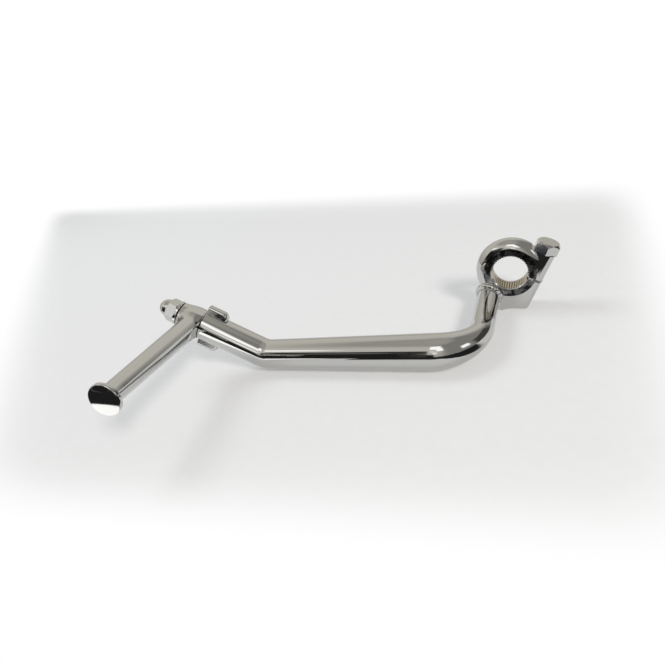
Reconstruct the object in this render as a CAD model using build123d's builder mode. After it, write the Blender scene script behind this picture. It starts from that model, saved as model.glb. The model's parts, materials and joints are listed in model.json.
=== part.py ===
from build123d import *
import math
import os

# Kick start lever: split clamp, bent arm and a folding pedal on a sprung hinge.
# Millimetres. The origin is the centre of the clamp bore. The bore runs along Y,
# the arm reaches towards -X, the pedal points roughly to -Y and +Z is up.

# Clamp ring
bore_diameter = 20.5
serration_count = 45
serration_depth = 0.8
serration_width = 0.78
bore_chamfer = 0.8
ring_diameter = 40.0
ring_width = 12.6
seat_diameter = 30.4
seat_recess = 0.5

# Clamp lug and its slit
bolt_lean = 24.0
bolt_offset = 14.3
lug_reach = 20.0
foot_reach = 18.3
lug_seat = 17.0
lug_edge_radius = 3.2
shoulder_reach = 13.2
shoulder_slant = 14.0
shoulder_tilt = 19.0
foot_drop = 24.6
foot_relief = 1.7
foot_relief_span = 14.0
slit_width = 1.6

# Pinch bolt
bolt_diameter = 8.0
bolt_clearance = 0.2
thread_clearance = 0.02
bolt_length = 34.0
hex_across_flats = 13.0
bolt_head_height = 6.2
bolt_flat_height = 4.5
bolt_crown_diameter = 11.7
spot_face_diameter = 17.0

# Arm
neck_x = -13.3
arm_drop = 14.3
neck_back = 4.0
neck_radius = 6.5
arm_offset = 70.0
wide_bend_radius = 24.5
arm_wide_radius = 10.4
arm_slim_radius = 9.3
knee_x = -142.4
knee_bend_radius = 15.0
knee_angle = 34.3
knee_turn = 3.8
knee_to_pivot = 49.2
weld_bead_radius = 1.7
weld_lean = 32.0

# Hinge
hub_inner = 5.4
hub_outer = 10.6
hinge_gap = 0.3
hub_inner_radius = 9.3
hub_outer_radius = 7.8
stud_diameter = 8.0
stud_clearance = 0.05
stud_grip = 20.0
stud_depth = 18.0
stud_entry = 7.6
washer_diameter = 15.8
washer_thickness = 1.6
washer_clearance = 0.25
nut_height = 6.6
nut_bevel = 0.8
nut_turn = 56.0
nut_foot_diameter = 12.3
nut_flat_height = 5.1
nut_crown_diameter = 12.1
dome_radius = 5.6
nut_length = 12.4
nut_thread_depth = 8.5
fold_range = 90.0
pedal_lift = 9.0

# Detent and stop in the hinge face
track_radius = 6.5
ball_diameter = 3.4
ball_sink = 0.75
ball_angle = 135.0
ball_clearance = 0.15
spring_wire = 0.5
spring_turns = 4
spring_length = 6.0
pin_diameter = 2.6
pin_depth = 7.0
pin_seat = 6.6
pin_reach = 3.0
pin_angle = 315.0
pin_clearance = 0.3

# Stop ears
ear_length = 13.6
ear_height = 4.6
ear_thickness = 5.4
ear_corner_radius = 4.2
ear_turn = 7.0
ear_round = 1.6

# Pedal
pedal_length = 95.0
rod_root_radius = 6.6
rod_flare_radius = 9.0
rod_flare_length = 30.0
rod_tip_radius = 5.6
head_radius = 8.7
head_thickness = 4.6
head_dome = 2.0
head_edge = 0.7

# Frames worked out from the sizes above
half_width = ring_width / 2
seat_face = half_width - seat_recess
bore_radius = bore_diameter / 2
ring_radius = ring_diameter / 2
lean = math.radians(bolt_lean)
slit_direction = Vector(math.cos(lean), 0, -math.sin(lean))
bolt_direction = Vector(math.sin(lean), 0, math.cos(lean))
lug_plane = Plane(origin=(0, 0, 0), x_dir=slit_direction, z_dir=(0, -1, 0))
seat_point = slit_direction * bolt_offset + bolt_direction * lug_seat
seat_plane = Plane(origin=seat_point, x_dir=slit_direction, z_dir=bolt_direction)

shoulder_way = math.radians(90 - shoulder_slant)
shoulder_line = slit_direction * math.cos(shoulder_way) + bolt_direction * math.sin(shoulder_way)
shoulder_away = bolt_direction * math.cos(shoulder_way) - slit_direction * math.sin(shoulder_way)
shoulder_fall = math.radians(shoulder_tilt)

knee = math.radians(knee_angle)
turn = math.radians(knee_turn)
pivot_direction = Vector(-math.cos(knee) * math.cos(turn), -math.sin(turn), math.sin(knee) * math.cos(turn))
knee_bend = math.acos(-pivot_direction.X)
knee_point = Vector(knee_x, -arm_offset, -arm_drop)
pivot_point = knee_point + pivot_direction * knee_to_pivot
lift = math.radians(pedal_lift)
level_pedal = (Vector(0, -1, 0) + pivot_direction * pivot_direction.Y).normalized()
raised_pedal = pivot_direction.cross(level_pedal)
pedal_direction = level_pedal * math.cos(lift) + raised_pedal * math.sin(lift)
hinge_plane = Plane(origin=pivot_point, x_dir=pedal_direction, z_dir=pivot_direction)
hub_face = -hub_inner
arm_face = hub_face - hinge_gap
washer_seat = hub_outer + hinge_gap
nut_seat = washer_seat + washer_thickness
hex_radius = hex_across_flats / math.sqrt(3)

os.makedirs("parts", exist_ok=True)


# Split clamp ring with its lug
def lug_corner(along_slit, along_bolt):
    corner = slit_direction * along_slit + bolt_direction * along_bolt
    return (corner.X, corner.Z)


foot_outer_x = (foot_reach - foot_drop * math.sin(lean)) / math.cos(lean)
foot_inner_x = -foot_relief_span / 2
relief_radius = (foot_relief_span**2 / 4 + foot_relief**2) / (2 * foot_relief)
relief_middle = (foot_outer_x + foot_inner_x) / 2

with BuildPart() as clamp_head:
    with BuildSketch(Plane.XZ):
        Polygon(
            lug_corner(0, lug_seat),
            lug_corner(lug_reach, lug_seat),
            (foot_outer_x, -foot_drop),
            (foot_inner_x, -foot_drop),
            (foot_inner_x, 0),
            align=None,
        )
    extrude(amount=half_width, both=True)
    outer_face = clamp_head.faces().sort_by(Axis((0, 0, 0), slit_direction))[-1]
    fillet(outer_face.edges().filter_by(GeomType.LINE).filter_by(Axis.Y, reverse=True), lug_edge_radius)
    for face_sign, side_align in ((-1, Align.MIN), (1, Align.MAX)):
        shoulder_point = slit_direction * shoulder_reach + Vector(0, face_sign * half_width, 0)
        shoulder_normal = Vector(0, face_sign, 0) * math.cos(shoulder_fall) + shoulder_away * math.sin(shoulder_fall)
        with BuildSketch(Plane(shoulder_point, x_dir=shoulder_line, z_dir=shoulder_normal)):
            Rectangle(2 * lug_reach, 2 * lug_reach, align=(Align.MIN, side_align))
        extrude(amount=ring_width, mode=Mode.SUBTRACT)
    with BuildSketch(Plane.XZ):
        with Locations((relief_middle, -foot_drop + foot_relief - relief_radius)):
            Circle(relief_radius)
    extrude(amount=ring_width, both=True, mode=Mode.SUBTRACT)
    with BuildSketch(Plane.XY) as ring_section:
        with BuildLine():
            Polyline(
                (ring_radius - half_width, -half_width),
                (bore_radius / 2, -half_width),
                (bore_radius / 2, half_width),
                (ring_radius - half_width, half_width),
            )
            ThreePointArc(
                (ring_radius - half_width, half_width),
                (ring_radius, 0),
                (ring_radius - half_width, -half_width),
            )
        make_face()
    revolve(axis=Axis.Y)
    with BuildSketch(Plane.XZ):
        Circle(bore_radius)
        with PolarLocations(bore_radius, serration_count):
            Polygon(
                (-serration_depth / 2, -serration_width / 2),
                (0, -serration_width / 2),
                (serration_depth, 0),
                (0, serration_width / 2),
                (-serration_depth / 2, serration_width / 2),
                align=None,
            )
    extrude(amount=ring_width, both=True, mode=Mode.SUBTRACT)
    for face_sign in (-1, 1):
        with BuildSketch(Plane.XY):
            Polygon(
                (0, face_sign * ring_width),
                (seat_diameter / 2, face_sign * ring_width),
                (seat_diameter / 2, face_sign * seat_face),
                (bore_radius + bore_chamfer, face_sign * seat_face),
                (bore_radius - bore_chamfer / 4, face_sign * (seat_face - bore_chamfer * 5 / 4)),
                (0, face_sign * (seat_face - bore_chamfer * 5 / 4)),
                align=None,
            )
        revolve(axis=Axis.Y, mode=Mode.SUBTRACT)
    with BuildSketch(lug_plane):
        with Locations((lug_reach, 0)):
            Rectangle(2 * lug_reach, slit_width)
    extrude(amount=ring_width, both=True, mode=Mode.SUBTRACT)
    with BuildSketch(seat_plane):
        Circle(spot_face_diameter / 2)
    extrude(amount=ring_radius, mode=Mode.SUBTRACT)
    with BuildSketch(seat_plane):
        Circle(bolt_diameter / 2 + bolt_clearance)
    extrude(amount=-lug_seat, mode=Mode.SUBTRACT)
    with BuildSketch(seat_plane.offset(-lug_seat)):
        Circle(bolt_diameter / 2 + thread_clearance)
    extrude(amount=-2 * foot_drop, mode=Mode.SUBTRACT)
clamp_head.part.label = "clamp_head"
export_step(clamp_head.part, "parts/clamp_head.step")


# Pinch bolt
with BuildPart() as pinch_bolt:
    with BuildSketch(seat_plane):
        RegularPolygon(hex_radius, 6, rotation=30)
    extrude(amount=bolt_head_height)
    with BuildSketch(Plane(seat_plane.origin, x_dir=slit_direction, z_dir=(0, -1, 0))):
        with BuildLine():
            Polyline(
                (0, 0),
                (hex_radius, 0),
                (hex_radius, bolt_flat_height),
                (bolt_crown_diameter / 2, bolt_head_height),
                (0, bolt_head_height),
                (0, 0),
            )
        make_face()
    revolve(axis=Axis(seat_plane.origin, bolt_direction), mode=Mode.INTERSECT)
    with BuildSketch(seat_plane):
        Circle(bolt_diameter / 2)
    extrude(amount=-bolt_length)
    chamfer(pinch_bolt.faces().sort_by(Axis((0, 0, 0), bolt_direction))[0].edges(), bolt_diameter / 10)
pinch_bolt.part.label = "pinch_bolt"
export_step(pinch_bolt.part, "parts/pinch_bolt.step")


# Arm: slim neck, wide bend, tapered bar, tight knee and the hinge end
bend_centre = Vector(neck_x - wide_bend_radius, wide_bend_radius - arm_offset, -arm_drop)
knee_setback = knee_bend_radius * math.tan(knee_bend / 2)
bar_start_x = neck_x - wide_bend_radius
bar_end = knee_point + Vector(knee_setback, 0, 0)


def swelling_radius(share):
    return neck_radius + (arm_wide_radius - neck_radius) * share**2 * (3 - 2 * share)


with BuildPart() as arm:
    with BuildSketch(Plane((neck_x, neck_back, -arm_drop), x_dir=(0, 0, 1), z_dir=(0, -1, 0))):
        Circle(neck_radius)
    extrude(amount=neck_back - bend_centre.Y)
    for share in (0, 0.2, 0.4, 0.6, 0.8, 1):
        ahead = math.radians(90 * share)
        outward = Vector(math.cos(ahead), -math.sin(ahead), 0)
        forward = Vector(-math.sin(ahead), -math.cos(ahead), 0)
        station = bend_centre + outward * wide_bend_radius
        with BuildSketch(Plane(station, x_dir=(0, 0, 1), z_dir=forward)):
            Circle(swelling_radius(share))
    loft()
    bar_start = Vector(bar_start_x, -arm_offset, -arm_drop)
    for bar_place, bar_radius in ((bar_start, arm_wide_radius), (bar_end, arm_slim_radius)):
        with BuildSketch(Plane(bar_place, x_dir=(0, 0, 1), z_dir=(-1, 0, 0))):
            Circle(bar_radius)
    loft()
    with BuildLine() as knee_path:
        knee_arc = TangentArc(bar_end, knee_point + pivot_direction * knee_setback, tangent=(-1, 0, 0))
        Line(knee_arc @ 1, pivot_point + pivot_direction * arm_face)
    with BuildSketch(Plane(bar_end, x_dir=(0, 0, 1), z_dir=(-1, 0, 0))):
        Circle(arm_slim_radius)
    sweep(path=knee_path.wires()[0])
    add(clamp_head.part, mode=Mode.SUBTRACT)
    with BuildSketch(hinge_plane.offset(arm_face)):
        Circle(stud_diameter / 2 + thread_clearance)
    extrude(amount=-stud_grip, mode=Mode.SUBTRACT)
    with BuildSketch(hinge_plane.offset(arm_face)):
        with PolarLocations(track_radius, 1, start_angle=ball_angle):
            Circle(ball_diameter / 2 + ball_clearance)
    extrude(amount=-ball_sink - ball_diameter / 2 - spring_length, mode=Mode.SUBTRACT)
    with BuildSketch(hinge_plane.offset(arm_face)):
        with PolarLocations(track_radius, 1, start_angle=pin_angle):
            Circle(pin_diameter / 2 + thread_clearance)
    extrude(amount=-pin_depth, mode=Mode.SUBTRACT)
arm.part.label = "arm"
export_step(arm.part, "parts/arm.step")


# Weld bead round the root of the neck
weld_tilt = math.radians(weld_lean)
weld_normal = Vector(math.sin(weld_tilt), math.cos(weld_tilt), 0)
weld_plane = Plane((neck_x, -half_width / 2, -arm_drop), x_dir=(0, 0, 1), z_dir=weld_normal)
with BuildPart() as neck_weld:
    with BuildLine(weld_plane) as bead_path:
        EllipticalCenterArc((0, 0), neck_radius, neck_radius / math.cos(weld_tilt), arc_size=360)
    with BuildSketch(Plane(bead_path.line @ 0, z_dir=bead_path.line % 0)):
        RegularPolygon(weld_bead_radius, 8)
    sweep(path=bead_path.line)
    add(arm.part, mode=Mode.SUBTRACT)
    add(clamp_head.part, mode=Mode.SUBTRACT)
neck_weld.part.label = "neck_weld"
export_step(neck_weld.part, "parts/neck_weld.step")


# Two stop ears on the hinge end of the arm
ear_lean = math.radians(ear_turn)
ear_side = hinge_plane.y_dir * math.cos(ear_lean) - hinge_plane.x_dir * math.sin(ear_lean)
ear_top = arm_slim_radius + ear_height
ear_back = arm_face - ear_length
ear_across = pivot_direction.cross(ear_side)
corner_middle = ear_corner_radius * (1 - math.sqrt(0.5))
with BuildPart() as stop_lugs:
    for side in (1, -1):
        with BuildSketch(Plane(pivot_point, x_dir=pivot_direction, z_dir=ear_across * side)):
            with BuildLine():
                Polyline(
                    (ear_back, ear_top - ear_corner_radius),
                    (ear_back, 0),
                    (arm_face, 0),
                    (arm_face, ear_top),
                    (ear_back + ear_corner_radius, ear_top),
                )
                ThreePointArc(
                    (ear_back + ear_corner_radius, ear_top),
                    (ear_back + corner_middle, ear_top - corner_middle),
                    (ear_back, ear_top - ear_corner_radius),
                )
            make_face()
        extrude(amount=ear_thickness / 2, both=True)
    rounded_edges = stop_lugs.edges().filter_by(GeomType.CIRCLE)
    flat_edges = stop_lugs.edges().filter_by(Axis((0, 0, 0), pivot_direction))
    fillet(rounded_edges + flat_edges, ear_round)
    with BuildSketch(hinge_plane.offset(arm_face)):
        Circle(arm_slim_radius)
    extrude(amount=2 * ear_length, both=True, mode=Mode.SUBTRACT)
stop_lugs.part.label = "stop_lugs"
export_step(stop_lugs.part, "parts/stop_lugs.step")


# Pivot stud
stud_end = nut_seat + stud_entry
with BuildPart() as pivot_stud:
    with BuildSketch(hinge_plane.offset(arm_face - stud_depth)):
        Circle(stud_diameter / 2)
    extrude(amount=stud_end - arm_face + stud_depth)
    chamfer(pivot_stud.edges().filter_by(GeomType.CIRCLE), stud_diameter / 12)
pivot_stud.part.label = "pivot_stud"
export_step(pivot_stud.part, "parts/pivot_stud.step")


# Stop pin in the end face of the arm
with BuildPart() as stop_pin:
    with BuildSketch(hinge_plane.offset(arm_face - pin_seat)):
        with PolarLocations(track_radius, 1, start_angle=pin_angle):
            Circle(pin_diameter / 2)
    extrude(amount=pin_seat + pin_reach)
    chamfer(stop_pin.edges().filter_by(GeomType.CIRCLE), pin_diameter / 10)
stop_pin.part.label = "stop_pin"
export_step(stop_pin.part, "parts/stop_pin.step")


# Detent ball and its spring
ball_turn = math.radians(ball_angle)
ball_arm = hinge_plane.x_dir * math.cos(ball_turn) + hinge_plane.y_dir * math.sin(ball_turn)
ball_axis = pivot_point + ball_arm * track_radius
ball_centre = ball_axis + pivot_direction * (arm_face - ball_sink)
with BuildPart() as detent_ball:
    with BuildSketch(Plane(ball_centre, x_dir=pivot_direction, z_dir=ball_arm)):
        with BuildLine():
            Line((-ball_diameter / 2, 0), (ball_diameter / 2, 0))
            ThreePointArc((ball_diameter / 2, 0), (0, ball_diameter / 2), (-ball_diameter / 2, 0))
        make_face()
    revolve(axis=Axis(ball_centre, pivot_direction))
detent_ball.part.label = "detent_ball"
export_step(detent_ball.part, "parts/detent_ball.step")

coil_radius = ball_diameter / 2 - spring_wire / 2
coil_start = ball_centre - pivot_direction * (ball_diameter / 2 + spring_wire)
coil_height = spring_length - 2 * spring_wire
with BuildPart() as detent_spring:
    with BuildLine() as coil:
        Helix(
            pitch=coil_height / spring_turns,
            height=coil_height,
            radius=coil_radius,
            center=coil_start,
            direction=-pivot_direction,
        )
    with BuildSketch(Plane(coil.line @ 0, x_dir=ball_arm, z_dir=coil.line % 0)):
        Rectangle(spring_wire, spring_wire)
    sweep(path=coil.line)
detent_spring.part.label = "detent_spring"
export_step(detent_spring.part, "parts/detent_spring.step")


# Pedal: hub, rod and mushroom head in one forging
head_back = pedal_length - head_thickness
rim_front = pedal_length - head_dome
ball_track = CenterArc((0, 0), track_radius, ball_angle - fold_range, fold_range)
pin_track = CenterArc((0, 0), track_radius, pin_angle - fold_range, fold_range)
with BuildPart() as pedal:
    with BuildSketch(Plane(pivot_point, x_dir=pivot_direction, z_dir=pedal_direction)):
        with BuildLine():
            Polyline(
                (hub_outer, hub_outer_radius - head_edge),
                (hub_outer, 0),
                (hub_face, 0),
                (hub_face, hub_inner_radius - head_edge),
                (hub_face + head_edge, hub_inner_radius),
                (0, hub_inner_radius),
            )
            Spline(
                (0, hub_inner_radius),
                (hub_outer - head_edge, hub_outer_radius),
                tangents=((1, 0), (1, -0.1)),
            )
            Line((hub_outer - head_edge, hub_outer_radius), (hub_outer, hub_outer_radius - head_edge))
        make_face()
    revolve(axis=Axis(pivot_point, pivot_direction))
    with BuildSketch(hinge_plane):
        with BuildLine():
            Polyline(
                (rim_front, head_radius - head_edge),
                (rim_front - head_edge / 2, head_radius),
                (head_back + head_edge, head_radius),
                (head_back, head_radius - head_edge),
                (head_back - head_edge, rod_tip_radius + head_edge),
                (head_back - 3 * head_edge, rod_tip_radius),
                (rod_flare_length, rod_root_radius),
            )
            Spline(
                (rod_flare_length, rod_root_radius),
                (0, rod_flare_radius),
                tangents=((-1, 0.01), (-1, 0.12)),
            )
            Polyline((0, rod_flare_radius), (0, 0), (pedal_length, 0))
            ThreePointArc(
                (pedal_length, 0),
                (pedal_length - head_dome / 4, (head_radius - head_edge) / 2),
                (rim_front, head_radius - head_edge),
            )
        make_face()
    revolve(axis=Axis(pivot_point, pedal_direction))
    with BuildSketch(hinge_plane.offset(hub_face)):
        Circle(rod_flare_length)
    extrude(amount=-rod_flare_radius, mode=Mode.SUBTRACT)
    with BuildSketch(hinge_plane.offset(hub_face)):
        Circle(stud_diameter / 2 + stud_clearance)
    extrude(amount=hub_outer - hub_face, mode=Mode.SUBTRACT)
    with BuildSketch(hinge_plane.offset(hub_face)):
        SlotArc(ball_track, ball_diameter + ball_clearance)
    extrude(amount=ball_diameter / 2 - ball_sink - hinge_gap + ball_clearance, mode=Mode.SUBTRACT)
    with BuildSketch(hinge_plane.offset(hub_face)):
        SlotArc(pin_track, pin_diameter + 2 * pin_clearance)
    extrude(amount=pin_reach, mode=Mode.SUBTRACT)
pedal.part.label = "pedal"
export_step(pedal.part, "parts/pedal.step")


# Washer and domed nut
with BuildPart() as hub_washer:
    with BuildSketch(hinge_plane.offset(washer_seat)):
        Circle(washer_diameter / 2)
        Circle(stud_diameter / 2 + washer_clearance, mode=Mode.SUBTRACT)
    extrude(amount=washer_thickness)
    rim_edges = hub_washer.edges().filter_by(GeomType.CIRCLE).sort_by(SortBy.RADIUS)
    chamfer(rim_edges[-2:], washer_thickness / 6)
hub_washer.part.label = "hub_washer"
export_step(hub_washer.part, "parts/hub_washer.step")

nut_plane = hinge_plane.offset(nut_seat)
with BuildPart() as acorn_nut:
    with BuildSketch(nut_plane):
        RegularPolygon(hex_radius, 6, rotation=nut_turn)
    extrude(amount=nut_height)
    with BuildSketch(Plane(nut_plane.origin, x_dir=pivot_direction, z_dir=pedal_direction)):
        with BuildLine():
            Polyline(
                (0, 0),
                (0, nut_foot_diameter / 2),
                (nut_bevel, hex_radius),
                (nut_flat_height, hex_radius),
                (nut_height, nut_crown_diameter / 2),
                (nut_height, 0),
                (0, 0),
            )
        make_face()
    revolve(axis=Axis(nut_plane.origin, pivot_direction), mode=Mode.INTERSECT)
    with BuildSketch(Plane(nut_plane.origin, x_dir=pivot_direction, z_dir=pedal_direction)):
        with BuildLine():
            Polyline(
                (nut_length, 0),
                (nut_height / 2, 0),
                (nut_height / 2, dome_radius),
                (nut_length - dome_radius, dome_radius),
            )
            RadiusArc((nut_length - dome_radius, dome_radius), (nut_length, 0), dome_radius)
        make_face()
    revolve(axis=Axis(nut_plane.origin, pivot_direction))
    with BuildSketch(nut_plane):
        Circle(stud_diameter / 2 + thread_clearance)
    extrude(amount=nut_thread_depth, mode=Mode.SUBTRACT)
acorn_nut.part.label = "acorn_nut"
export_step(acorn_nut.part, "parts/acorn_nut.step")
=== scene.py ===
import json
import math

import bmesh
import bpy
from mathutils import Matrix, Vector


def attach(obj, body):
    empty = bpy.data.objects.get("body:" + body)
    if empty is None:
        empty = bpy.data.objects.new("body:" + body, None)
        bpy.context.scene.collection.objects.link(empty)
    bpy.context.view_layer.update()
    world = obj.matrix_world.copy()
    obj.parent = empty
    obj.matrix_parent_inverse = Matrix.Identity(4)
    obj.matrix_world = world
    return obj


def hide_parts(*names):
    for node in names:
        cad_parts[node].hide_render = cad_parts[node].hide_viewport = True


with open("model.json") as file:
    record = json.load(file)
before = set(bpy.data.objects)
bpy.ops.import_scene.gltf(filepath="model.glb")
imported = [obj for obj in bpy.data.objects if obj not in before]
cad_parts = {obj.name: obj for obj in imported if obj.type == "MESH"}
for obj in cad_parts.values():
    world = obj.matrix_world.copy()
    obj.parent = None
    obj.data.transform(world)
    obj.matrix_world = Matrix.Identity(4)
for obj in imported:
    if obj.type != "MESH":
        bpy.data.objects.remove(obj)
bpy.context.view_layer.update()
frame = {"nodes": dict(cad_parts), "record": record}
nodes = frame["nodes"]
scene = bpy.context.scene
scene.view_settings.view_transform = "Standard"

# Height of the table under the lever, in metres
FLOOR_Z = -0.0248
# Soft edge of a mask that looks sharp
HAIR_BLUR = 0.0001


# Node helpers
def add_node(tree, kind, **values):
    node = tree.nodes.new(kind)
    for name, value in values.items():
        setattr(node, name, value)
    return node


def plain_material(name):
    material = bpy.data.materials.new(name)
    material.use_nodes = True
    tree = material.node_tree
    return material, tree, tree.nodes["Principled BSDF"]


def feed(tree, socket, value):
    """Link the socket to another one, or set it to a plain number, vector or colour."""
    if isinstance(value, bpy.types.NodeSocket):
        tree.links.new(value, socket)
    elif socket.type == "RGBA":
        socket.default_value = (*value, 1.0)
    else:
        socket.default_value = value


def maths(tree, operation, *terms):
    node = add_node(tree, "ShaderNodeMath", operation=operation)
    for socket, term in zip(node.inputs, terms):
        feed(tree, socket, term)
    return node.outputs["Value"]


def vector_maths(tree, operation, result, *terms):
    node = add_node(tree, "ShaderNodeVectorMath", operation=operation)
    for socket, term in zip(node.inputs, terms):
        feed(tree, socket, term)
    return node.outputs[result]


def times(tree, first, second):
    return maths(tree, "MULTIPLY", first, second)


def mapped(tree, value, start, end, low=0.0, high=1.0, curve="LINEAR"):
    """The stretch of value from start to end, mapped to low and high."""
    node = add_node(tree, "ShaderNodeMapRange", interpolation_type=curve)
    node.inputs["From Min"].default_value = start
    node.inputs["From Max"].default_value = end
    node.inputs["To Min"].default_value = low
    node.inputs["To Max"].default_value = high
    tree.links.new(value, node.inputs["Value"])
    return node.outputs["Result"]


def soft_band(tree, value, low, high, blur):
    """1 where value lies between low and high, fading over blur at both ends."""
    entered = mapped(tree, value, low - blur / 2, low + blur / 2, 0.0, 1.0, "SMOOTHSTEP")
    not_left = mapped(tree, value, high - blur / 2, high + blur / 2, 1.0, 0.0, "SMOOTHSTEP")
    return times(tree, entered, not_left)


def mixed(tree, kind, mask, under, over):
    """A colour or value laid over another where mask is 1."""
    node = add_node(tree, "ShaderNodeMix", data_type=kind)
    feed(tree, node.inputs["Factor"], mask)
    feed(tree, node.inputs["A"], under)
    feed(tree, node.inputs["B"], over)
    return node.outputs["Result"]


def colour_ramp(tree, value, stops):
    node = add_node(tree, "ShaderNodeValToRGB")
    marks = node.color_ramp.elements
    for mark, (position, colour) in zip((marks[0], marks[1]), (stops[0], stops[-1])):
        mark.position = position
        mark.color = (*colour, 1.0)
    for position, colour in stops[1:-1]:
        marks.new(position).color = (*colour, 1.0)
    tree.links.new(value, node.inputs["Fac"])
    return node.outputs["Color"]


def object_place(tree):
    return add_node(tree, "ShaderNodeTexCoord").outputs["Object"]


def split_place(tree, place):
    node = add_node(tree, "ShaderNodeSeparateXYZ")
    tree.links.new(place, node.inputs[0])
    return node.outputs["X"], node.outputs["Y"], node.outputs["Z"]


def noise(tree, place, scale, detail):
    node = add_node(tree, "ShaderNodeTexNoise")
    node.inputs["Scale"].default_value = scale
    node.inputs["Detail"].default_value = detail
    tree.links.new(place, node.inputs["Vector"])
    return node.outputs["Fac"]


# Plating wear: scuffs, cloudy patches and pits, shared by every plated piece
PLATING_COLOUR = (0.58, 0.578, 0.57)
PIT_COLOUR = (0.10, 0.075, 0.05)
PIT_SCALE = 420.0
PIT_ROUGHNESS = 0.5
BUMP_STRENGTH = 0.012
BUMP_DISTANCE = 0.0002


def plating_wear_group():
    tree = bpy.data.node_groups.new("plating_wear", "ShaderNodeTree")
    sockets = tree.interface
    sockets.new_socket("Pit Amount", in_out="INPUT", socket_type="NodeSocketFloat")
    sockets.new_socket("Scuff Amount", in_out="INPUT", socket_type="NodeSocketFloat")
    sockets.new_socket("Color", in_out="OUTPUT", socket_type="NodeSocketColor")
    sockets.new_socket("Roughness", in_out="OUTPUT", socket_type="NodeSocketFloat")
    sockets.new_socket("Height", in_out="OUTPUT", socket_type="NodeSocketFloat")
    inside = add_node(tree, "NodeGroupInput")
    outside = add_node(tree, "NodeGroupOutput")
    place = object_place(tree)
    cloud = noise(tree, place, 60.0, 4.0)
    grain = noise(tree, place, 900.0, 3.0)
    cells = add_node(tree, "ShaderNodeTexVoronoi")
    cells.inputs["Scale"].default_value = PIT_SCALE
    tree.links.new(place, cells.inputs["Vector"])
    spots = mapped(tree, cells.outputs["Distance"], 0.05, 0.16, 1.0, 0.0)
    patches = mapped(tree, cloud, 0.56, 0.66)
    pits = times(tree, times(tree, spots, patches), inside.outputs["Pit Amount"])
    scuffs = times(tree, mapped(tree, cloud, 0.35, 0.75, 0.03, 0.12), inside.outputs["Scuff Amount"])
    colour = mixed(tree, "RGBA", pits, PLATING_COLOUR, PIT_COLOUR)
    roughness = maths(tree, "MULTIPLY_ADD", pits, PIT_ROUGHNESS, scuffs)
    height = maths(tree, "MULTIPLY_ADD", pits, -1.0, grain)
    tree.links.new(colour, outside.inputs["Color"])
    tree.links.new(roughness, outside.inputs["Roughness"])
    tree.links.new(height, outside.inputs["Height"])
    return tree


PLATING_WEAR = plating_wear_group()


def plated_material(name, pit_amount, scuff_amount):
    material, tree, shader = plain_material(name)
    wear = add_node(tree, "ShaderNodeGroup", node_tree=PLATING_WEAR)
    wear.inputs["Pit Amount"].default_value = pit_amount
    wear.inputs["Scuff Amount"].default_value = scuff_amount
    bump = add_node(tree, "ShaderNodeBump")
    bump.inputs["Strength"].default_value = BUMP_STRENGTH
    bump.inputs["Distance"].default_value = BUMP_DISTANCE
    tree.links.new(wear.outputs["Height"], bump.inputs["Height"])
    tree.links.new(wear.outputs["Color"], shader.inputs["Base Color"])
    tree.links.new(wear.outputs["Roughness"], shader.inputs["Roughness"])
    tree.links.new(bump.outputs["Normal"], shader.inputs["Normal"])
    shader.inputs["Metallic"].default_value = 1.0
    return material


BRIGHT_PLATING = plated_material("bright_plating", 0.3, 1.0)
PITTED_PLATING = plated_material("pitted_plating", 1.0, 1.3)
WORN_PLATING = plated_material("worn_plating", 1.0, 2.6)


# Clamp ring: bright outside, a painted dark reflection in streaks on the land round the bore, painted
# lighter towards the arm, worn steel teeth inside it
LAND_INNER = 0.0111
LAND_OUTER = 0.01522
LAND_FACE = 0.0056
LAND_ROUGHNESS = 0.22
# Streak tones of the painted dark reflection on the land
DARK_REFLECTION_STREAKS = ((0.44, (0.016, 0.016, 0.017)), (0.72, (0.30, 0.30, 0.30)))
# Painted brighter reflection on the land towards the arm: streak tones, side, where it starts and its
# fade
BRIGHT_REFLECTION_STREAKS = ((0.40, (0.05, 0.05, 0.055)), (0.60, (0.60, 0.61, 0.64)))
LAND_BRIGHT_SIDE = (-0.88, 0.0, -0.47)
LAND_BRIGHT_FROM = 0.0098
LAND_BRIGHT_FADE = 0.007
TEETH_RADIUS = 0.0112
TEETH_DEPTH = 0.0050
TEETH_COLOUR = (0.56, 0.51, 0.43)
TEETH_ROUGHNESS = 0.32


def painted_land_reflection(tree, place):
    """Painted reflection: dark streaked metal, painted brighter on the side towards the arm."""
    streaks = noise(tree, place, 260.0, 5.0)
    dark_reflection = colour_ramp(tree, streaks, DARK_REFLECTION_STREAKS)
    bright_reflection = colour_ramp(tree, streaks, BRIGHT_REFLECTION_STREAKS)
    toward_arm = vector_maths(tree, "DOT_PRODUCT", "Value", place, LAND_BRIGHT_SIDE)
    bright_side = soft_band(tree, toward_arm, LAND_BRIGHT_FROM, 1.0, LAND_BRIGHT_FADE)
    return mixed(tree, "RGBA", bright_side, dark_reflection, bright_reflection)


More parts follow.
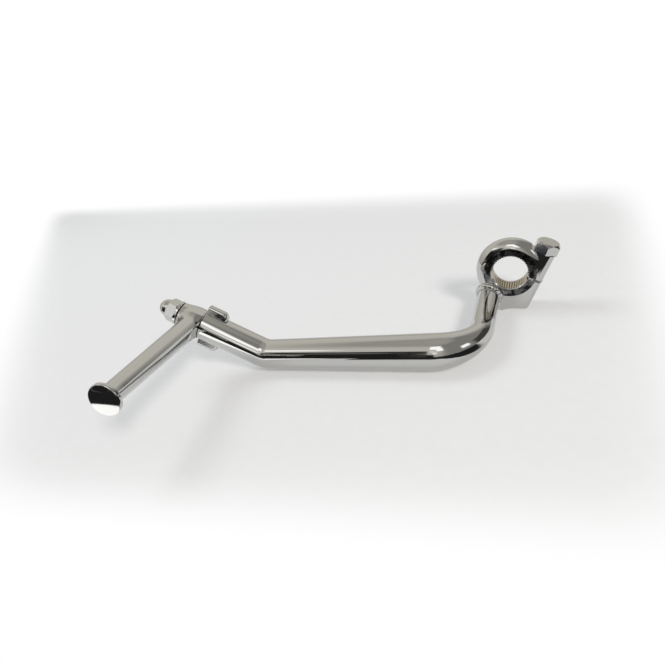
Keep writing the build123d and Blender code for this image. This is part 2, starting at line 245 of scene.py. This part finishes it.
def clamp_material():
    material = plated_material("clamp_plating", 0.3, 1.0)
    tree = material.node_tree
    shader = tree.nodes["Principled BSDF"]
    colour = shader.inputs["Base Color"].links[0].from_socket
    roughness = shader.inputs["Roughness"].links[0].from_socket
    place = object_place(tree)
    across, along, upward = split_place(tree, place)
    flat = add_node(tree, "ShaderNodeCombineXYZ")
    tree.links.new(across, flat.inputs["X"])
    tree.links.new(upward, flat.inputs["Z"])
    radius = vector_maths(tree, "LENGTH", "Value", flat.outputs["Vector"])
    depth = maths(tree, "ABSOLUTE", along)
    on_land = soft_band(tree, radius, LAND_INNER, LAND_OUTER, HAIR_BLUR)
    land = times(tree, on_land, soft_band(tree, depth, LAND_FACE, 1.0, HAIR_BLUR))
    # Painted dark reflection on the land round the bore, painted lighter on the side towards the arm
    colour = mixed(tree, "RGBA", land, colour, painted_land_reflection(tree, place))
    roughness = mixed(tree, "FLOAT", land, roughness, LAND_ROUGHNESS)
    in_bore = soft_band(tree, radius, 0.0, TEETH_RADIUS, HAIR_BLUR)
    teeth = times(tree, in_bore, soft_band(tree, depth, -1.0, TEETH_DEPTH, HAIR_BLUR))
    colour = mixed(tree, "RGBA", teeth, colour, TEETH_COLOUR)
    roughness = mixed(tree, "FLOAT", teeth, roughness, TEETH_ROUGHNESS)
    tree.links.new(colour, shader.inputs["Base Color"])
    tree.links.new(roughness, shader.inputs["Roughness"])
    return material


def bare_steel_material():
    material, tree, shader = plain_material("oiled_steel")
    grain = noise(tree, object_place(tree), 700.0, 3.0)
    colour = mixed(tree, "RGBA", grain, (0.40, 0.39, 0.37), (0.50, 0.49, 0.47))
    tree.links.new(colour, shader.inputs["Base Color"])
    tree.links.new(mapped(tree, grain, 0.0, 1.0, 0.25, 0.42), shader.inputs["Roughness"])
    shader.inputs["Metallic"].default_value = 1.0
    return material


CLAMP_PLATING = clamp_material()
OILED_STEEL = bare_steel_material()
FINISH = {
    "clamp_head": CLAMP_PLATING,
    "stop_lugs": WORN_PLATING,
    "pivot_stud": OILED_STEEL,
    "stop_pin": OILED_STEEL,
    "detent_ball": OILED_STEEL,
    "detent_spring": OILED_STEEL,
}
for name, node in nodes.items():
    node.data.materials.clear()
    node.data.materials.append(FINISH.get(name, BRIGHT_PLATING))


# Rippled weld bead round the root of the neck
BEAD_CENTRE = Vector((-0.0133, -0.00315, -0.0143))
BEAD_NECK_RADIUS = 0.0065
BEAD_RADIUS = 0.0022
BEAD_LEAN = math.radians(33.0)
BEAD_RIPPLES = 11
BEAD_RIPPLE_SHARE = 0.14
BEAD_RIPPLE_POWER = 0.7
# Slow swells along the bead: share of its radius, waves round the neck and start angle
BEAD_SWELLS = ((0.06, 3.0, 0.7), (0.05, 7.0, 2.1))
BEAD_STEPS = 272
BEAD_SIDES = 20


def build_weld_bead():
    bore = Vector((0.0, 1.0, 0.0))
    inward = Vector((-BEAD_CENTRE.x, 0.0, -BEAD_CENTRE.z)).normalized()
    up = bore.cross(inward)
    across = inward * math.cos(BEAD_LEAN) - bore * math.sin(BEAD_LEAN)
    normal = inward * math.sin(BEAD_LEAN) + bore * math.cos(BEAD_LEAN)
    wide = BEAD_NECK_RADIUS / math.cos(BEAD_LEAN)
    shape = bmesh.new()
    rings = []
    for step in range(BEAD_STEPS):
        angle = 2.0 * math.pi * step / BEAD_STEPS
        spot = BEAD_CENTRE + up * BEAD_NECK_RADIUS * math.cos(angle) + across * wide * math.sin(angle)
        outward = (up * math.cos(angle) / BEAD_NECK_RADIUS + across * math.sin(angle) / wide).normalized()
        ripple = abs(math.sin(angle * BEAD_RIPPLES / 2.0)) ** BEAD_RIPPLE_POWER
        swell = sum(share * math.sin(waves * angle + start) for share, waves, start in BEAD_SWELLS)
        thick = BEAD_RADIUS * (1.0 - BEAD_RIPPLE_SHARE + BEAD_RIPPLE_SHARE * ripple + swell)
        ring = []
        for side in range(BEAD_SIDES):
            turn = 2.0 * math.pi * side / BEAD_SIDES
            lift = outward * math.cos(turn) + normal * math.sin(turn)
            ring.append(shape.verts.new(spot + lift * thick))
        rings.append(ring)
    for step in range(BEAD_STEPS):
        ring, after = rings[step], rings[(step + 1) % BEAD_STEPS]
        for side in range(BEAD_SIDES):
            beside = (side + 1) % BEAD_SIDES
            shape.faces.new((ring[side], ring[beside], after[beside], after[side]))
    bmesh.ops.recalc_face_normals(shape, faces=shape.faces)
    bead_mesh = bpy.data.meshes.new("weld_bead")
    shape.to_mesh(bead_mesh)
    shape.free()
    for face in bead_mesh.polygons:
        face.use_smooth = True
    bead_mesh.materials.append(BRIGHT_PLATING)
    bead = bpy.data.objects.new("weld_bead", bead_mesh)
    scene.collection.objects.link(bead)
    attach(bead, "lever")
    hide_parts("neck_weld")


build_weld_bead()


# Foot pedal: hub, rod and head as one smooth forging, measured along the hinge and along the rod
PEDAL_LIFT = math.radians(9.0)
HUB_INNER = -0.0054
HUB_OUTER = 0.0106
HUB_EDGE = 0.0007
HUB_RADIUS = 0.0093
HUB_OUTER_RADIUS = 0.0078
HUB_BLEND = 0.0050
HUB_BLEND_RUN = 0.006
PIVOT_HOLE_RADIUS = 0.00405
PIVOT_HOLE_LENGTH = 0.030
ROD_ROOT_RADIUS = 0.0082
ROD_RADIUS = 0.0066
ROD_TIP_RADIUS = 0.0056
FLARE_END = 0.030
FLAT_END = 0.017
FLAT_RELIEF = 0.0020
HEAD_START = 0.0883
HEAD_RIM = 0.0087
HEAD_BACK = 0.0913
HEAD_FRONT = 0.0925
DOME_EDGE = 0.0079
DOME_BASE = 0.0934
DOME_RISE = 0.0011
# Fineness of the pedal's mesh
CURVE_STEPS = 48
FLAT_STEPS = 6
BACK_STEPS = 40
HUB_STEP = 0.0005
HUB_STEPS = 24
FLARE_STEP = 0.001
FLARE_STEPS = 19
ROD_STEPS = 12
HEAD_STEPS = 8
RIM_STEPS = 6
DOME_STEPS = 12
DOME_CLOSING = 12.05
HALVINGS = 36
SKIN_REACH = 0.016
DRILL_SIDES = 64
SHARP_EDGE = math.radians(35.0)


def smooth_step(value):
    value = min(max(value, 0.0), 1.0)
    return value * value * (3.0 - 2.0 * value)


def hub_radius(across):
    taper = smooth_step(across / (HUB_OUTER - HUB_EDGE))
    edge = max(0.0, across - HUB_OUTER + HUB_EDGE, HUB_INNER + HUB_EDGE - across)
    return HUB_RADIUS + (HUB_OUTER_RADIUS - HUB_RADIUS) * taper - edge


def rod_radius(along):
    if along < FLARE_END:
        return ROD_RADIUS + (ROD_ROOT_RADIUS - ROD_RADIUS) * (1.0 - along / FLARE_END) ** 2
    return ROD_RADIUS + (ROD_TIP_RADIUS - ROD_RADIUS) * (along - FLARE_END) / (HEAD_START - FLARE_END)


def pedal_depth(across, along, height):
    """How deep a point lies under the skin of the hub and rod, blended where they meet."""
    hub = hub_radius(across) - math.hypot(along, height)
    rod = rod_radius(along) - math.hypot(across, height)
    blend = HUB_BLEND * smooth_step(along / HUB_BLEND_RUN)
    if blend < 1e-7:
        return max(hub, rod)
    share = min(max(0.5 + 0.5 * (hub - rod) / blend, 0.0), 1.0)
    return rod + (hub - rod) * share + blend * share * (1.0 - share)


def skin(depth, reach):
    """The distance from 0 towards reach at which depth falls to nothing."""
    if depth(reach) >= 0.0:
        return reach
    near, far = 0.0, reach
    for _ in range(HALVINGS):
        middle = (near + far) / 2
        if depth(middle) >= 0.0:
            near = middle
        else:
            far = middle
    return near


def section_outline(along, low, high, height):
    """One closed section: over the top, down the inner flat, back underneath and up the outer flat."""
    spots = []
    for step in range(CURVE_STEPS + 1):
        across = (high + low) / 2 + (high - low) / 2 * math.cos(math.pi * step / CURVE_STEPS)
        spots.append((across, height(across)))
    under = [(across, -rise) for across, rise in reversed(spots)]
    inner = [(low, spots[-1][1] * (1.0 - 2.0 * step / FLAT_STEPS)) for step in range(1, FLAT_STEPS)]
    outer = [(high, -spots[0][1] * (1.0 - 2.0 * step / FLAT_STEPS)) for step in range(1, FLAT_STEPS)]
    return [(across, along, rise) for across, rise in spots + inner + under + outer]


def hub_section(along):
    flat = HUB_INNER - FLAT_RELIEF * smooth_step((along - FLAT_END) / (FLARE_END - FLAT_END))
    high = skin(lambda across: pedal_depth(across, along, 0.0), HUB_OUTER)
    low = skin(lambda across: pedal_depth(across, along, 0.0), flat)

    def height(across):
        return skin(lambda rise: pedal_depth(across, along, rise), SKIN_REACH)

    return section_outline(along, low, high, height)


def round_section(along, radius):
    def height(across):
        return math.sqrt(max(0.0, radius ** 2 - across ** 2))

    return section_outline(along, -radius, radius, height)


def pedal_sections():
    flare_start = HUB_STEP * HUB_STEPS
    sections = [hub_section(HUB_STEP * step) for step in range(HUB_STEPS)]
    sections += [hub_section(flare_start + FLARE_STEP * step) for step in range(FLARE_STEPS)]
    for step in range(1, ROD_STEPS + 1):
        along = FLARE_END + (HEAD_START - FLARE_END) * step / ROD_STEPS
        sections.append(round_section(along, rod_radius(along)))
    for step in range(1, HEAD_STEPS + 1):
        share = step / HEAD_STEPS
        along = HEAD_START + (HEAD_BACK - HEAD_START) * math.sin(math.pi / 2 * share)
        sections.append(round_section(along, ROD_TIP_RADIUS + (HEAD_RIM - ROD_TIP_RADIUS) * share ** 2))
    for step in range(RIM_STEPS + 1):
        turn = math.pi / 2 * step / RIM_STEPS
        along = HEAD_FRONT + (DOME_BASE - HEAD_FRONT) * math.sin(turn)
        sections.append(round_section(along, DOME_EDGE + (HEAD_RIM - DOME_EDGE) * math.cos(turn)))
    for step in range(1, DOME_STEPS + 1):
        share = 1.0 - step / DOME_CLOSING
        along = DOME_BASE + DOME_RISE * (1.0 - share ** 2)
        sections.append(round_section(along, DOME_EDGE * share))
    return sections


def hub_back_rows():
    """The round back of the hub, turned about the hinge."""
    middle = (HUB_OUTER + HUB_INNER) / 2
    half = (HUB_OUTER - HUB_INNER) / 2
    places = [middle + half * math.cos(math.pi * step / CURVE_STEPS) for step in range(CURVE_STEPS + 1)]
    rows = []
    for step in range(BACK_STEPS + 1):
        turn = math.pi / 2 + math.pi * step / BACK_STEPS
        row = []
        for place in places:
            row.append((place, hub_radius(place) * math.cos(turn), hub_radius(place) * math.sin(turn)))
        rows.append(row)
    return rows


def loose_piece(name, shape):
    """A mesh object made from a finished shape."""
    mesh = bpy.data.meshes.new(name)
    shape.to_mesh(mesh)
    shape.free()
    piece = bpy.data.objects.new(name, mesh)
    scene.collection.objects.link(piece)
    return piece


def pedal_blank(pivot, axis):
    level = Vector((0.0, -1.0, 0.0))
    level = (level - axis * level.dot(axis)).normalized()
    rod_way = level * math.cos(PEDAL_LIFT) + axis.cross(level) * math.sin(PEDAL_LIFT)
    upward = axis.cross(rod_way)
    shape = bmesh.new()

    def point(spot):
        return shape.verts.new(pivot + axis * spot[0] + rod_way * spot[1] + upward * spot[2])

    rings = [[point(spot) for spot in section] for section in pedal_sections()]
    count = len(rings[0])
    for ring, after in zip(rings, rings[1:]):
        for side in range(count):
            beside = (side + 1) % count
            shape.faces.new((ring[side], ring[beside], after[beside], after[side]))
    shape.faces.new(rings[-1])
    back = [[point(spot) for spot in row] for row in hub_back_rows()]
    for row, after in zip(back, back[1:]):
        for side in range(CURVE_STEPS):
            shape.faces.new((row[side], row[side + 1], after[side + 1], after[side]))
    first_inner = CURVE_STEPS + 1
    first_outer = 2 * (CURVE_STEPS + 1) + FLAT_STEPS - 1
    inner_seam = rings[0][first_inner:first_inner + FLAT_STEPS - 1]
    outer_seam = rings[0][first_outer:first_outer + FLAT_STEPS - 1]
    shape.faces.new([row[-1] for row in back] + inner_seam[::-1])
    shape.faces.new([row[0] for row in back] + outer_seam)
    bmesh.ops.remove_doubles(shape, verts=shape.verts, dist=2e-6)
    bmesh.ops.dissolve_degenerate(shape, edges=shape.edges, dist=1e-6)
    bmesh.ops.recalc_face_normals(shape, faces=shape.faces)
    return loose_piece("pedal_blank", shape)


def pivot_drill(pivot, axis):
    shape = bmesh.new()
    bmesh.ops.create_cone(
        shape,
        cap_ends=True,
        segments=DRILL_SIDES,
        radius1=PIVOT_HOLE_RADIUS,
        radius2=PIVOT_HOLE_RADIUS,
        depth=PIVOT_HOLE_LENGTH,
        matrix=Matrix.Translation(pivot) @ axis.to_track_quat("Z", "Y").to_matrix().to_4x4(),
    )
    return loose_piece("pivot_drill", shape)


def build_pedal():
    hinge = frame["record"]["behaviour"]["joints"][0]
    pivot = Vector(hinge["pos_m"])
    axis = Vector(hinge["axis"]).normalized()
    blank = pedal_blank(pivot, axis)
    drill = pivot_drill(pivot, axis)
    cut = blank.modifiers.new("pivot_hole", "BOOLEAN")
    cut.operation = "DIFFERENCE"
    cut.solver = "EXACT"
    cut.object = drill
    drilled = blank.evaluated_get(bpy.context.evaluated_depsgraph_get())
    pedal_mesh = bpy.data.meshes.new_from_object(drilled)
    pedal_mesh.name = "foot_pedal"
    bpy.data.objects.remove(blank)
    bpy.data.objects.remove(drill)
    for face in pedal_mesh.polygons:
        face.use_smooth = True
    pedal_mesh.set_sharp_from_angle(angle=SHARP_EDGE)
    pedal_mesh.materials.clear()
    pedal_mesh.materials.append(PITTED_PLATING)
    pedal = bpy.data.objects.new("foot_pedal", pedal_mesh)
    scene.collection.objects.link(pedal)
    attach(pedal, "pedal")
    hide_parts("pedal")


build_pedal()


# Pale table top that fades to white away from the lever
FLOOR_SIZE = 60.0
PAPER_TONES = ((0.80, 0.80, 0.80), (0.86, 0.86, 0.857))
# Sides of the pale field under the lever: inward direction, distance along it and fade
FIELD_SIDES = (
    ((-0.087, 0.996), -0.125, 0.060),
    ((-0.328, -0.945), -0.143, 0.120),
    ((-0.998, 0.055), -0.042, 0.050),
    ((0.686, 0.728), -0.270, 0.080),
)
# Share of a shadow on the table that is filled where the camera sees it, and its colour
SHADOW_FILL = 0.34
SHADOW_FILL_COLOUR = (0.80, 0.80, 0.80)
# The same for the table as the plating mirrors it
MIRROR_FILL = 0.22
MIRROR_FILL_COLOUR = (0.86, 0.86, 0.86)
# Mirrored table edge in front of the pedal, with the steps by which it comes nearer to the right
TABLE_EDGE = -0.205
EDGE_STEPS = ((-0.118, 0.078), (-0.010, 0.069))
EDGE_BLUR = 0.014
EDGE_COLOUR = (0.02, 0.02, 0.02)
# Mirrored room past the table edge, a little lighter far away to the left
ROOM_FRONT = -0.85
ROOM_LEFT = -1.15
ROOM_FADE = 0.5
ROOM_COLOUR = (0.12, 0.135, 0.155)
# Mirrored pool of window light on the table
POOL_CENTRE = (-0.222, -0.196, 0.0)
POOL_RADIUS = 0.061
POOL_COLOUR = (1.65, 1.65, 1.63)


def pale_field(tree, place):
    """1 on the pale field under the lever, fading out at its sides."""
    field = None
    for inward, distance, fade in FIELD_SIDES:
        along = vector_maths(tree, "DOT_PRODUCT", "Value", place, (*inward, 0.0))
        side = mapped(tree, along, distance - fade, distance, 0.0, 1.0, "SMOOTHSTEP")
        field = side if field is None else times(tree, field, side)
    return field


def mirrored_floor(tree, place):
    """Masks and colours of the floor as the plating mirrors it, laid one over the other."""
    across, along, _ = split_place(tree, place)
    past = along
    for middle, size in EDGE_STEPS:
        step = mapped(tree, across, middle - EDGE_BLUR, middle + EDGE_BLUR, 0.0, -size, "SMOOTHSTEP")
        past = maths(tree, "ADD", past, step)
    far_front = soft_band(tree, along, -FLOOR_SIZE, ROOM_FRONT, ROOM_FADE)
    far_left = soft_band(tree, across, -FLOOR_SIZE, ROOM_LEFT, ROOM_FADE)
    from_pool = vector_maths(tree, "SUBTRACT", "Vector", place, POOL_CENTRE)
    pool_reach = vector_maths(tree, "LENGTH", "Value", from_pool)
    return (
        (MIRROR_FILL, MIRROR_FILL_COLOUR),
        (soft_band(tree, past, -FLOOR_SIZE, TABLE_EDGE, EDGE_BLUR), EDGE_COLOUR),
        (times(tree, far_front, far_left), ROOM_COLOUR),
        (soft_band(tree, pool_reach, -1.0, POOL_RADIUS, EDGE_BLUR), POOL_COLOUR),
    )


def glow_over(tree, surface, mask, colour):
    """The surface, with a glow of the colour laid over it where mask is 1."""
    glow = add_node(tree, "ShaderNodeEmission")
    feed(tree, glow.inputs["Color"], colour)
    layer = add_node(tree, "ShaderNodeMixShader")
    tree.links.new(mask, layer.inputs["Fac"])
    tree.links.new(surface, layer.inputs[1])
    tree.links.new(glow.outputs["Emission"], layer.inputs[2])
    return layer.outputs["Shader"]


def build_floor():
    bpy.ops.mesh.primitive_plane_add(size=FLOOR_SIZE, location=(0.0, 0.0, FLOOR_Z))
    floor = bpy.context.object
    floor.name = "table_top"
    material, tree, shader = plain_material("table_paper")
    place = object_place(tree)
    fibre = noise(tree, place, 160.0, 4.0)
    tree.links.new(mixed(tree, "RGBA", fibre, *PAPER_TONES), shader.inputs["Base Color"])
    shader.inputs["Roughness"].default_value = 0.75
    shader.inputs["Specular IOR Level"].default_value = 0.2
    path = add_node(tree, "ShaderNodeLightPath")
    outside = maths(tree, "SUBTRACT", 1.0, pale_field(tree, place))
    filled = maths(tree, "MAXIMUM", outside, SHADOW_FILL)
    seen = times(tree, filled, path.outputs["Is Camera Ray"])
    pale = mixed(tree, "RGBA", outside, SHADOW_FILL_COLOUR, (1.0, 1.0, 1.0))
    surface = glow_over(tree, shader.outputs["BSDF"], seen, pale)
    for mask, colour in mirrored_floor(tree, place):
        mirrored = times(tree, path.outputs["Is Glossy Ray"], mask)
        surface = glow_over(tree, surface, mirrored, colour)
    tree.links.new(surface, tree.nodes["Material Output"].inputs["Surface"])
    floor.data.materials.append(material)


build_floor()


# Studio walls and ceiling that the plating mirrors
STUDIO_CENTRE = Vector((-0.09, -0.07, 0.0))
STUDIO_RADIUS = 2.5
# Soft patches on the walls: degrees round from the front, degrees up, blur of both and colour
WALL_PATCHES = (
    # darker wall on the right, its shaded foot and the far window in it
    ((24.0, 150.0), (-8.0, 66.0), (30.0, 12.0), (0.30, 0.293, 0.27)),
    ((95.0, 140.0), (-8.0, 27.0), (12.0, 6.0), (0.07, 0.068, 0.062)),
    ((64.0, 83.0), (14.0, 29.0), (7.0, 6.0), (1.60, 1.60, 1.58)),
    # dark doorway in front, its step and the faint bar of light in it
    ((-58.0, -13.0), (-14.0, 34.0), (8.0, 4.0), (0.02, 0.019, 0.018)),
    ((-15.0, 3.0), (-6.0, 13.0), (5.0, 3.0), (0.02, 0.019, 0.018)),
    ((-34.0, -20.0), (22.0, 28.0), (6.0, 3.0), (0.16, 0.16, 0.155)),
    # window strip over the doorway, three low panes beside it and the tall window above
    ((-64.0, -38.0), (39.5, 46.5), (10.0, 3.0), (1.55, 1.55, 1.53)),
    ((1.0, 10.0), (16.0, 26.0), (4.0, 3.0), (1.25, 1.25, 1.23)),
    ((-7.0, 5.0), (27.0, 35.0), (4.0, 2.0), (0.98, 0.98, 0.97)),
    ((10.0, 27.0), (33.0, 46.0), (5.0, 3.0), (1.65, 1.65, 1.63)),
    ((-9.0, 25.0), (44.0, 61.0), (11.0, 6.0), (1.65, 1.65, 1.63)),
)
# Tone of the bare walls from the floor to straight above
WALL_TONES = (
    (0.00, (0.52, 0.505, 0.455)),
    (0.20, (0.62, 0.60, 0.54)),
    (0.35, (0.74, 0.715, 0.645)),
    (0.60, (0.70, 0.675, 0.61)),
    (0.74, (0.44, 0.43, 0.38)),
    (1.00, (0.50, 0.485, 0.43)),
)


def build_reflection_dome():
    dome_mesh = bpy.data.meshes.new("studio_dome")
    shape = bmesh.new()
    bmesh.ops.create_uvsphere(shape, u_segments=96, v_segments=48, radius=STUDIO_RADIUS)
    shape.to_mesh(dome_mesh)
    shape.free()
    dome = bpy.data.objects.new("studio_dome", dome_mesh)
    dome.location = STUDIO_CENTRE
    scene.collection.objects.link(dome)
    dome.visible_camera = False
    dome.visible_diffuse = False
    dome.visible_shadow = False
    dome.visible_transmission = False
    material = bpy.data.materials.new("studio_walls")
    material.use_nodes = True
    tree = material.node_tree
    tree.nodes.clear()
    direction = vector_maths(tree, "NORMALIZE", "Vector", object_place(tree))
    across, along, upward = split_place(tree, direction)
    rise = maths(tree, "DEGREES", maths(tree, "ARCSINE", upward))
    front = times(tree, along, -1.0)
    around = maths(tree, "DEGREES", maths(tree, "ARCTAN2", across, front))
    seen = colour_ramp(tree, mapped(tree, rise, 0.0, 90.0), WALL_TONES)
    for sides, heights, blur, colour in WALL_PATCHES:
        beside = soft_band(tree, around, *sides, blur[0])
        above = soft_band(tree, rise, *heights, blur[1])
        seen = mixed(tree, "RGBA", times(tree, beside, above), seen, colour)
    glow = add_node(tree, "ShaderNodeEmission")
    tree.links.new(seen, glow.inputs["Color"])
    out = add_node(tree, "ShaderNodeOutputMaterial")
    tree.links.new(glow.outputs["Emission"], out.inputs["Surface"])
    dome_mesh.materials.append(material)


build_reflection_dome()


# White surround: how strongly it lights matt surfaces and how white it is where it is seen
SURROUND_LIGHT = 0.36
SURROUND_WHITE = 1.0


def build_world():
    world = bpy.data.worlds.new("white_surround")
    scene.world = world
    world.use_nodes = True
    tree = world.node_tree
    tree.nodes.clear()
    path = add_node(tree, "ShaderNodeLightPath")
    seen = maths(tree, "MAXIMUM", path.outputs["Is Camera Ray"], path.outputs["Is Glossy Ray"])
    shown = maths(tree, "MAXIMUM", seen, path.outputs["Is Transmission Ray"])
    level = mapped(tree, shown, 0.0, 1.0, SURROUND_LIGHT, SURROUND_WHITE)
    background = add_node(tree, "ShaderNodeBackground")
    background.inputs["Color"].default_value = (1.0, 1.0, 1.0, 1.0)
    tree.links.new(level, background.inputs["Strength"])
    out = add_node(tree, "ShaderNodeOutputWorld")
    tree.links.new(background.outputs["Background"], out.inputs["Surface"])


build_world()


# Soft lamps, not mirrored in the plating
def soft_lamp(name, place, size, power, colour):
    data = bpy.data.lights.new(name, "AREA")
    data.shape = "RECTANGLE"
    data.size = size[0]
    data.size_y = size[1]
    data.energy = power
    data.color = colour
    lamp = bpy.data.objects.new(name, data)
    lamp.location = place
    aim = STUDIO_CENTRE - Vector(place)
    lamp.rotation_euler = aim.to_track_quat("-Z", "Y").to_euler()
    lamp.visible_glossy = False
    scene.collection.objects.link(lamp)


soft_lamp("window_lamp", (-0.95, 0.25, 1.15), (0.6, 0.6), 7.5, (0.91, 0.96, 1.0))
soft_lamp("room_lamp", (1.00, -1.00, 1.05), (0.35, 0.35), 19.5, (1.0, 0.97, 0.92))


# Camera at the photographed angle: side of the photo and focal length in pixels, sensor in millimetres
PHOTO_SIDE = 665.0
FOCAL_LENGTH = 500.0
SENSOR_WIDTH = 36.0


def build_camera():
    data = bpy.data.cameras.new("photo_camera")
    data.sensor_width = SENSOR_WIDTH
    data.lens = FOCAL_LENGTH / PHOTO_SIDE * SENSOR_WIDTH
    data.clip_start = 0.01
    camera = bpy.data.objects.new("photo_camera", data)
    right = Vector((0.91114, 0.33962, -0.23341))
    down = Vector((-0.02930, -0.51157, -0.85874))
    ahead = Vector((-0.41105, 0.78928, -0.45616))
    place = Vector((0.02543, -0.29751, 0.13132))
    turn = Matrix((right, -down, -ahead)).transposed()
    camera.matrix_world = Matrix.Translation(place) @ turn.to_4x4()
    scene.collection.objects.link(camera)
    scene.camera = camera


build_camera()
